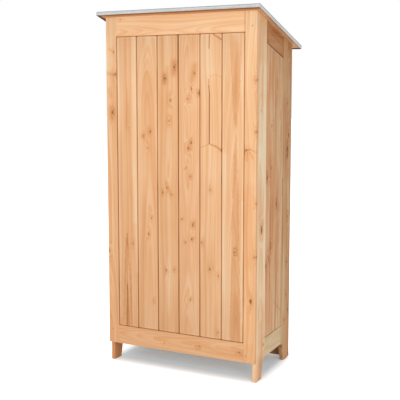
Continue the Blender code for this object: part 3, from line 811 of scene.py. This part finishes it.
def zinc():
    """Galvanised sheet: a soft spangle under a dull bloom, and painted shade along the fold and inside the
    lips.
    """
    made, net, shader, source = new_material("zinc_cover")
    point, normal = source["Object"], source["Normal"]
    spangle = net.node("ShaderNodeTexVoronoi", {"Vector": point, "Scale": SPANGLES}).outputs["Color"]
    flake = net.span(net.split(spangle)["X"], *FLAKE_SHADE)
    bloom = net.noise(point, "bloom", seed=3.0, detail=4.0)
    shade = net.add(flake, net.span(bloom, *BLOOM_SHADE))
    colour = net.mix(shade, *ZINC_GREYS)
    # Painted shade: a darker line just under the fold of the sheet
    up = Vector((0.0, math.sin(ROOF_PITCH), math.cos(ROOF_PITCH)))
    below = net.dot(net.vector("SUBTRACT", roof_front(), point), up)
    from_line = net.over(net.minus(below, FOLD_LINE), FOLD_HALF_W)
    colour = net.mix(net.bell(net.times(from_line, from_line)), colour, FOLD_PAINTED_SHADE)
    outwards = net.dot(net.vector("MULTIPLY", normal, point), (1.0, 1.0, 0.0))
    # Painted shade: the faces inside the lips are coloured nearly black
    colour = net.mix(net.smooth(outwards, *INSIDE_FACING), colour, INSIDE_PAINTED_SHADE)
    # The front faces lighter towards the left end and darker towards the right
    in_front = net.smooth(net.dot(normal, (0.0, -1.0, 0.0)), *FRONT_FACING)
    low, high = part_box("roof_sheet")
    left_to_right = net.span(net.smooth(net.split(point)["X"], low.x, high.x), *FRONT_LEFT_TO_RIGHT)
    colour = net.scaled(colour, net.times_add(in_front, left_to_right, 1.0))
    fine = net.noise(point, "sheet", seed=1.0)
    net.coat(shader, colour, net.span(shade, *ZINC_ROUGH), (fine, *ZINC_RELIEF), ZINC_METAL)
    return made


def two_tone(name):
    """Plain finish between two tones, with a noise for its tone and relief and one for its roughness."""
    tone_noise, rough_noise, tones, rough, relief, plain = FINISHES[name]
    made, net, shader, source = new_material(name)
    tone = net.noise(source["Object"], *tone_noise)
    dull = net.noise(source["Object"], *rough_noise)
    net.coat(shader, net.mix(tone, *tones), net.span(dull, *rough), relief and (tone, *relief), plain)
    return made


def finish_tree(net, geometry):
    """Every tree ends in real faces with their finish."""
    geometry = net.geometry("RealizeInstances", geometry)
    net.give("Geometry", net.geometry("SetMaterial", geometry, {"Material": net["Finish"]}))
    return net.tree


def board_tree():
    """A board's cross-section with eased arrises, carried from its foot to its head. The head may slope."""
    floats = ("Foot", "Head", "Slope", "Level At", "Ease")
    net = geometry_group("tongued_board", floats, ("Face", "Inward"))
    foot, head, inward = net["Foot"], net["Head"], net["Inward"]
    outline = net.geometry("MeshToCurve", net["Geometry"])
    ease = net.geometry("InputNamedAttribute", "arris", data_type="FLOAT")
    inputs = {"Count": ARRIS_STEPS, "Radius": ease, "Limit Radius": True}
    outline = net.geometry("FilletCurve", outline, inputs, mode="POLY")
    where = net.first("GeometryNodeInputPosition")
    place = net.split(where)
    half_way = net.times(net.add(foot, head), 0.5)
    length = net.minus(head, foot)
    upper = net.above(place["Z"], half_way)

    # The path has four points, and the inner two lie one ease short of its ends.
    path = net.geometry("CurvePrimitiveLine", net.upwards(foot), {"End": net.upwards(head)})
    path = net.geometry("SubdivideCurve", path, {"Cuts": PATH_CUTS})
    inner = net.math("COMPARE", net.first("GeometryNodeInputIndex"), *INNER_POINTS)
    near_end = net.times_add(upper, length, foot)
    inwards = net.times_add(upper, -2.0, 1.0)
    stop = net.upwards(net.times_add(inwards, net["Ease"], near_end))
    path = net.geometry("SetPosition", path, {"Selection": inner, "Position": stop})
    board = net.geometry("CurveToMesh", path, {"Profile Curve": outline, "Fill Caps": True})

    # The ends are cut back towards the face, and the head is then sloped.
    from_middle = net.abs(net.minus(place["Z"], half_way))
    at_end = net.above(from_middle, net.minus(net.times(length, 0.5), END_SLACK))
    below_face = net.dot(net.vector("SUBTRACT", where, net["Face"]), inward)
    cut = net.times(net.max(net.minus(net["Ease"], below_face), 0.0), at_end)
    board = net.geometry("SetPosition", board, {"Offset": net.scaled(inward, cut)})
    fall = net.times(net.minus(place["Y"], net["Level At"]), net["Slope"])
    fall = net.upwards(net.times(fall, upper))
    return finish_tree(net, net.geometry("SetPosition", board, {"Offset": fall}))


def screw_tree():
    """A round head with a recess on each point, turned to the point's facing."""
    net = geometry_group("screw_heads", ("Radius", "Height", "Recess", "Proud"))
    inputs = {"Vertices": HEAD_SIDES, "Radius": net["Radius"], "Depth": net["Height"]}
    head = net.node("GeometryNodeMeshCylinder", inputs).outputs
    inputs = {"Mesh": head["Mesh"], "Selection": head["Top"], "Offset Scale": 0.0}
    inset = net.node("GeometryNodeExtrudeMesh", inputs).outputs
    top = {"Selection": inset["Top"]}
    head = net.geometry("ScaleElements", inset["Mesh"], {**top, "Scale": RECESS_SHARE})
    sunk = net.times(net["Recess"], -1.0)
    head = net.geometry("ExtrudeMesh", head, {**top, "Offset Scale": sunk})
    drop = net.upwards(net.minus(net["Proud"], net.times(net["Height"], 0.5)))
    head = net.geometry("Transform", head, {"Translation": drop})
    facing = net.geometry("InputNamedAttribute", "facing", data_type="FLOAT_VECTOR")
    turn = net.first("FunctionNodeAlignRotationToVector", {"Vector": facing}, axis="Z")
    points = net.geometry("MeshToPoints", net["Geometry"])
    heads = net.geometry("InstanceOnPoints", points, {"Instance": head, "Rotation": turn})
    return finish_tree(net, heads)


def cover_tree():
    """A folded lip carried round a rounded rectangle, closed above and below by flat sheet."""
    net = geometry_group("folded_cover", ("Width", "Length", "Sheet"))
    path = net.geometry("CurvePrimitiveQuadrilateral", net["Width"], {"Height": net["Length"]})
    inputs = {"Count": COVER_CORNER_STEPS, "Radius": COVER_CORNER_R}
    path = net.geometry("FilletCurve", path, inputs, mode="POLY")
    fold = net.geometry("MeshToCurve", net["Geometry"])
    lip = net.geometry("CurveToMesh", path, {"Profile Curve": fold})
    plate = net.geometry("FillCurve", path, mode="NGONS")
    down = net.upwards(net.times(net["Sheet"], -1.0))
    lower = net.geometry("FlipFaces", net.geometry("Transform", plate, {"Translation": down}))
    join = net.node("GeometryNodeJoinGeometry")
    for part in (lip, plate, lower):
        net.feed(join.inputs["Geometry"], part)
    return finish_tree(net, net.geometry("MergeByDistance", join.outputs[0], {"Distance": WELD}))


def placed(name, data):
    """New object at the origin."""
    made = bpy.data.objects.new(name, data)
    bpy.context.scene.collection.objects.link(made)
    return made


def grown(name, tree, mesh, inputs):
    """Object whose mesh is what the tree makes of the given one."""
    made = placed(name, mesh)
    growing = made.modifiers.new(tree.name, "NODES")
    growing.node_group = tree
    for item in tree.interface.items_tree:
        if item.in_out == "INPUT" and item.name in inputs:
            growing[item.identifier] = inputs[item.name]
    settle(made)
    return made


def settle(made):
    """Turns an object's modifiers into a plain mesh whose faces point outwards."""
    evaluated = made.evaluated_get(bpy.context.evaluated_depsgraph_get())
    mesh = bpy.data.meshes.new_from_object(evaluated)
    made.modifiers.clear()
    made.data = mesh
    shape = bmesh.new()
    shape.from_mesh(mesh)
    bmesh.ops.recalc_face_normals(shape, faces=shape.faces)
    shape.to_mesh(mesh)
    shape.free()


def polyline(name, points, closed, arrises=()):
    mesh = bpy.data.meshes.new(name)
    count = len(points)
    edges = [(i, (i + 1) % count) for i in range(count if closed else count - 1)]
    mesh.from_pydata([(*point, 0.0) for point in points], edges, [])
    if arrises:
        mesh.attributes.new("arris", "FLOAT", "POINT").data.foreach_set("value", arrises)
    return mesh


def dress(piece, *nodes):
    """The piece stands for the nodes and moves with their body."""
    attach(piece, BODY_OF[nodes[0]])
    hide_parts(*nodes)


def board_kinds(node):
    """Kinds of a board's edges, from low to high along the wall that it stands in."""
    number = int(node[-1])
    if node.startswith("back"):
        return ("plain" if number == 1 else "tongue", "plain" if number == BACK_BOARDS else "groove")
    if node.startswith("side"):
        return ("tongue", "groove" if number == 1 else "tongue")
    towards_middle = "plain" if number == DOOR_BOARDS else "groove"
    towards_hinge = "plain" if number == 1 else "tongue"
    return (towards_middle, towards_hinge) if "right" in node else (towards_hinge, towards_middle)


def board_edge(u, inward, depth, kind):
    """Points down one long edge from face to back, with the rounding of each."""
    face, back = depth
    middle = (face + back) / 2
    way = 1 if back > face else -1
    half = way * TONGUE_T / 2
    if kind == "plain":
        return [((u, face), ARRIS), ((u, back), ARRIS)]
    tip = u - inward * TONGUE_L
    if kind == "groove":
        half += way * BOARD_GAP
        tip = u + inward * (TONGUE_L + BOARD_GAP)
    return [
        ((u, face), ARRIS),
        ((u, middle - half), 0.0),
        ((tip, middle - half), TONGUE_ARRIS),
        ((tip, middle + half), TONGUE_ARRIS),
        ((u, middle + half), 0.0),
        ((u, back), TONGUE_ARRIS),
    ]


def tongued_board(node, tree, finish):
    """One board from its solid's box, with the edges that suit its place in the wall."""
    low, high = board_face(node)
    on_side = node.startswith("side")
    axis, deep = (1, 0) if on_side else (0, 1)
    faces_low = low[deep] < -abs(high[deep])
    depth = (low[deep], high[deep]) if faces_low else (high[deep], low[deep])
    kinds = board_kinds(node)
    ring = board_edge(low[axis], 1, depth, kinds[0])
    ring += reversed(board_edge(high[axis], -1, depth, kinds[1]))
    points = [point[::-1] if on_side else point for point, _ in ring]
    outline = polyline(node + "_section", points, True, [ease for _, ease in ring])
    inward, face = Vector(), Vector()
    inward[deep] = 1.0 if faces_low else -1.0
    face[deep] = depth[0]
    slope = 0.0 if node.startswith("door") else -math.tan(ROOF_PITCH)
    inputs = {"Foot": low.z, "Head": high.z, "Slope": slope, "Level At": low.y, "Ease": ARRIS}
    inputs.update({"Face": face, "Inward": inward, "Finish": finish})
    dress(grown(node + "_planed", tree, outline, inputs), node)


def eased_piece(node, finish):
    """The node's own shape with its edges eased, as after planing and sanding."""
    shape = bmesh.new()
    shape.from_mesh(frame["nodes"][node].data)
    bmesh.ops.remove_doubles(shape, verts=shape.verts, dist=WELD)
    bmesh.ops.dissolve_limit(shape, angle_limit=FLAT_WITHIN, verts=shape.verts, edges=shape.edges)
    mesh = bpy.data.meshes.new(node + "_planed")
    shape.to_mesh(mesh)
    shape.free()
    mesh.materials.append(finish)
    made = placed(node + "_planed", mesh)
    easing = made.modifiers.new("eased_edges", "BEVEL")
    easing.width = EASED_EDGE
    easing.segments = EASED_STEPS
    easing.limit_method = "ANGLE"
    easing.angle_limit = SHARP_FROM
    settle(made)
    dress(made, node)


def fold_profile():
    """Cross-section of the cover's edge: out over the bend, down the lip, round the hem and back inside."""
    def bend(radius):
        angles = [QUARTER * (1 - step / BEND_STEPS) for step in range(BEND_STEPS + 1)]
        middle_x = COVER_REACH - BEND_R
        return [(middle_x + radius * math.cos(a), -BEND_R + radius * math.sin(a)) for a in angles]

    hem_x = COVER_REACH - HEM_T
    hem_top = HEM_H - LIP_H
    points = [(0.0, 0.0), *bend(BEND_R), (COVER_REACH, -LIP_H), (hem_x, -LIP_H), (hem_x, hem_top)]
    points += [(COVER_REACH - SHEET_T, hem_top), *reversed(bend(BEND_R - SHEET_T)), (0.0, -SHEET_T)]
    # The tree's path runs with its normal outwards and its second axis down.
    return [(x, -y) for x, y in points]


def roof_cover(tree, finish):
    low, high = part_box("roof_sheet")
    width = high.x - low.x
    length = (high.y - low.y - LIP_H * math.sin(ROOF_PITCH)) / math.cos(ROOF_PITCH)
    inputs = {"Width": width - 2 * COVER_REACH, "Length": length - 2 * COVER_REACH}
    inputs.update({"Sheet": SHEET_T, "Finish": finish})
    cover = grown("roof_cover", tree, polyline("roof_fold", fold_profile(), False), inputs)
    place = Matrix.Translation(roof_front()) @ Matrix.Rotation(-ROOF_PITCH, 4, "X")
    cover.data.transform(place @ Matrix.Translation((0.0, length / 2, 0.0)))
    dress(cover, "roof_sheet")


def screws(name, tree, body, places, sizes, finish):
    """Heads at the given (point, facing) places, all on one body."""
    mesh = bpy.data.meshes.new(name + "_places")
    mesh.from_pydata([point for point, _ in places], [], [])
    facing = mesh.attributes.new("facing", "FLOAT_VECTOR", "POINT")
    facing.data.foreach_set("vector", [value for _, way in places for value in way])
    inputs = dict(zip(("Radius", "Height", "Recess", "Proud"), sizes), Finish=finish)
    made = grown(name, tree, mesh, inputs)
    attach(made, body)


def between(low, high, share):
    return low + (high - low) * share


def door_screws(side):
    """Two screws through each ledge into every board, and three through the brace."""
    places = []
    for ledge in ("top", "bottom"):
        low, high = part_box(f"door_{side}_{ledge}_ledge")
        for board in range(DOOR_BOARDS):
            for share, row in zip(BOARD_SCREWS, LEDGE_ROWS):
                x = between(low.x, high.x, (board + share) / DOOR_BOARDS)
                places.append(((x, high.y, between(low.z, high.z, row)), (0, 1, 0)))
    low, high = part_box(f"door_{side}_brace")
    for share in BRACE_SCREWS:
        x = between(low.x, high.x, 1 - share if SIDES[side] > 0 else share)
        places.append(((x, high.y, between(low.z, high.z, share)), (0, 1, 0)))
    return places


def cabinet_screws():
    """Screws that hold the back boards to their rails, and the cleats and bearers to the sides."""
    places = []
    for rail in ("top", "bottom"):
        low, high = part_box(f"back_rail_{rail}")
        height = between(low.z, high.z, BACK_RAIL_ROW)
        for board in range(1, BACK_BOARDS + 1):
            board_low, board_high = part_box(f"back_board_{board}")
            for share in BOARD_SCREWS:
                x = between(board_low.x, board_high.x, share)
                places.append(((x, board_high.y, height), (0, 1, 0)))
    for side, sign in SIDES.items():
        for piece in (f"shelf_lower_cleat_{side}", f"shelf_upper_cleat_{side}", f"floor_bearer_{side}"):
            low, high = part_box(piece)
            x = low.x if sign > 0 else high.x
            for share in CLEAT_SCREWS:
                places.append(((x, between(low.y, high.y, share), (low.z + high.z) / 2), (-sign, 0, 0)))
    return places


def joint_pins():
    """Small pins that lock the front frame's corner joints, where the photograph shows their heads."""
    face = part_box("front_top_rail")[0].y
    return [((x, face, z), (0, -1, 0)) for x, z in JOINT_PINS]


def grain_of(node):
    """How the grain of a piece lies."""
    on_side = node.startswith("side")
    if "stile" in node or "board" in node or "brace" in node:
        return "up_side" if on_side else "up"
    if on_side or "cleat" in node or "bearer" in node:
        return "deep"
    return "flat" if node in PANELS else "wide"


def studio():
    scene = bpy.context.scene
    scene.view_settings.view_transform = "Standard"
    lens = bpy.data.cameras.new("camera")
    lens.lens = CAMERA_LENS
    lens.shift_y = CAMERA_SHIFT
    camera = placed("camera", lens)
    camera.location = CAMERA_PLACE
    camera.rotation_euler = (QUARTER - CAMERA_DOWN, 0.0, CAMERA_YAW)
    scene.camera = camera

    for name, (place, target, size, power) in LAMPS.items():
        lamp = bpy.data.lights.new(name, "AREA")
        lamp.energy = power
        lamp.size = size
        stand = placed(name, lamp)
        stand.location = place
        stand.rotation_euler = (Vector(target) - Vector(place)).to_track_quat("-Z", "Y").to_euler()

    world = bpy.data.worlds.new("studio")
    world.use_nodes = True
    scene.world = world
    net = Net(world.node_tree)
    backdrop = world.node_tree.nodes["Background"]
    backdrop.inputs["Color"].default_value = WHITE
    net.feed(backdrop.inputs["Strength"], net.span(seen_directly(net), AMBIENT, 1.0))


def seen_directly(net):
    """1 for rays that show the background itself, straight or in metal and glass."""
    path = net.node("ShaderNodeLightPath").outputs
    shown = net.max(path["Is Camera Ray"], path["Is Glossy Ray"])
    return net.max(shown, path["Is Transmission Ray"])


def floor():
    """Pale floor that keeps the cabinet's shadow and runs out into plain white."""
    shape = bmesh.new()
    bmesh.ops.create_grid(shape, x_segments=1, y_segments=1, size=FLOOR_HALF)
    mesh = bpy.data.meshes.new("floor")
    shape.to_mesh(mesh)
    shape.free()
    made, net, shader, source = new_material("pale_floor")
    point = net.split(source["Object"])
    out_x, out_y = (
        net.max(net.minus(net.abs(point[axis]), half), 0.0) for axis, half in zip("XY", FOOTPRINT)
    )
    distance = net.length(net.times(out_x, FLOOR_SIDE_FALL), out_y)
    # Painted shade: over the cabinet's footprint the floor glows less and takes a cooler colour, deepening
    # its shadow
    away = net.smooth(distance, *FLOOR_PLAIN)
    lift = net.times(net.span(away, FLOOR_LIFT, 1.0), seen_directly(net))
    colour = net.mix(net.smooth(distance, *FLOOR_SHADED), FLOOR_SHADE, FLOOR_COLOUR)
    plain = {"Specular IOR Level": 0.0, "Emission Color": WHITE, "Emission Strength": lift}
    net.coat(shader, colour, 1.0, (), plain)
    mesh.materials.append(made)
    plane = placed("floor", mesh)


def wood_pieces():
    for make_group in (knot_group, mark_group, flame_group, growth_group):
        make_group()
    boards = board_tree()
    for node, slot in SLOT_OF.items():
        if slot not in TONES:
            continue
        finish = larch(node, **{"tone": TONES[slot], **WOOD.get(node, {})})
        if "_board_" in node:
            tongued_board(node, boards, finish)
        else:
            eased_piece(node, finish)


def metal_and_plastic():
    steel = two_tone("plated_steel")
    # Pivot pins in dark steel: painted shade in the door gaps
    pivot_steel = two_tone("greased_steel")
    finishes = {"plated_steel": steel, "dark_plastic": two_tone("dark_plastic")}
    for node, slot in SLOT_OF.items():
        if slot in finishes:
            materials = frame["nodes"][node].data.materials
            materials.clear()
            materials.append(pivot_steel if "pivot_pin" in node else finishes[slot])
    roof_cover(cover_tree(), zinc())
    heads = screw_tree()
    screws("cabinet_screws", heads, "cabinet", cabinet_screws(), SCREW, steel)
    screws("front_joint_pins", heads, "cabinet", joint_pins(), JOINT_PIN, two_tone("brown_pins"))
    for side in SIDES:
        screws(f"door_{side}_screws", heads, f"door_{side}", door_screws(side), SCREW, steel)


studio()
floor()
wood_pieces()
metal_and_plastic()
